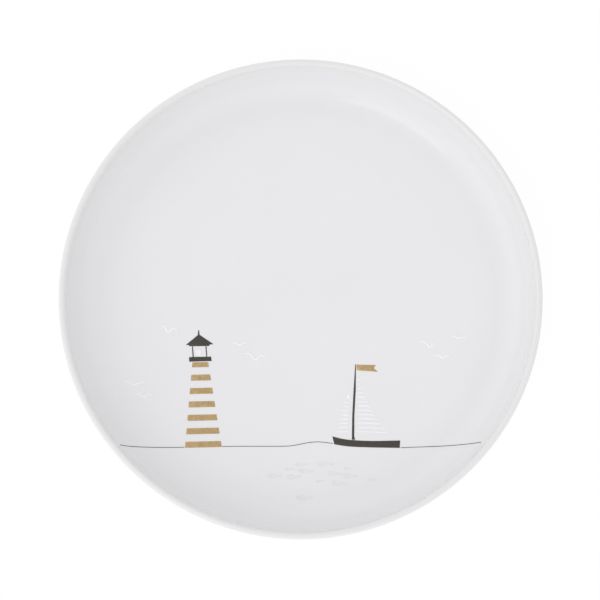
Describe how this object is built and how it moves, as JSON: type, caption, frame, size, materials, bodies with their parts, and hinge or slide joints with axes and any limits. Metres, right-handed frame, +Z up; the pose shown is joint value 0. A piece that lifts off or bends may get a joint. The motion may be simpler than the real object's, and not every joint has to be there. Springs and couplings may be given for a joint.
{
  "type": "souvenir plate",
  "caption": "Round white coupe plate with an upturned rim, a foot ring beneath, and a thin seaside picture of a lighthouse, a sailing boat, gulls and fish laid on its well.",
  "frame": {"origin": "centre of the foot ring, on the surface the plate stands on", "axes": "+Z up out of the dish, +Y towards the top of the picture, +X to the picture's right, where the boat is"},
  "size_m": [0.21, 0.21, 0.0228],
  "materials": {
    "glazed_porcelain": "gloss",
    "black_print": "satin",
    "gold_print": "satin",
    "white_relief": "gloss",
    "grey_print": "satin"
  },
  "bodies": {
    "root": {"plate_body": "glazed_porcelain", "horizon_left": "black_print", "horizon_middle": "black_print", "horizon_right": "black_print", "lighthouse_roof": "black_print", "lighthouse_lantern": "black_print", "lighthouse_lamp": "white_relief", "lighthouse_band_1": "gold_print", "lighthouse_band_2": "gold_print", "lighthouse_band_3": "gold_print", "lighthouse_band_4": "gold_print", "lighthouse_band_5": "gold_print", "lighthouse_band_6": "gold_print", "lighthouse_band_7": "gold_print", "boat_hull": "black_print", "boat_mast": "black_print", "boat_pennant": "gold_print", "mainsail_stripe_1": "white_relief", "mainsail_stripe_2": "white_relief", "mainsail_stripe_3": "white_relief", "mainsail_stripe_4": "white_relief", "mainsail_stripe_5": "white_relief", "mainsail_stripe_6": "white_relief", "mainsail_stripe_7": "white_relief", "mainsail_stripe_8": "white_relief", "mainsail_stripe_9": "white_relief", "mainsail_stripe_10": "white_relief", "mainsail_stripe_11": "white_relief", "mainsail_stripe_12": "white_relief", "mainsail_stripe_13": "white_relief", "jib_peak": "white_relief", "jib_stripe_1": "white_relief", "jib_stripe_2": "white_relief", "jib_stripe_3": "white_relief", "jib_stripe_4": "white_relief", "jib_stripe_5": "white_relief", "jib_stripe_6": "white_relief", "jib_stripe_7": "white_relief", "jib_stripe_8": "white_relief", "gull_1": "white_relief", "gull_2": "white_relief", "gull_3": "white_relief", "gull_4": "white_relief", "gull_5": "white_relief", "gull_6": "white_relief", "gull_7": "white_relief", "gull_8": "white_relief", "fish_1": "grey_print", "fish_2": "grey_print", "fish_3": "grey_print", "fish_4": "grey_print", "fish_5": "grey_print", "fish_6": "grey_print", "fish_7": "grey_print", "fish_8": "grey_print", "fish_9": "grey_print", "fish_10": "grey_print", "fish_11": "grey_print", "fish_12": "grey_print", "fish_13": "grey_print"}
  },
  "joints": []
}
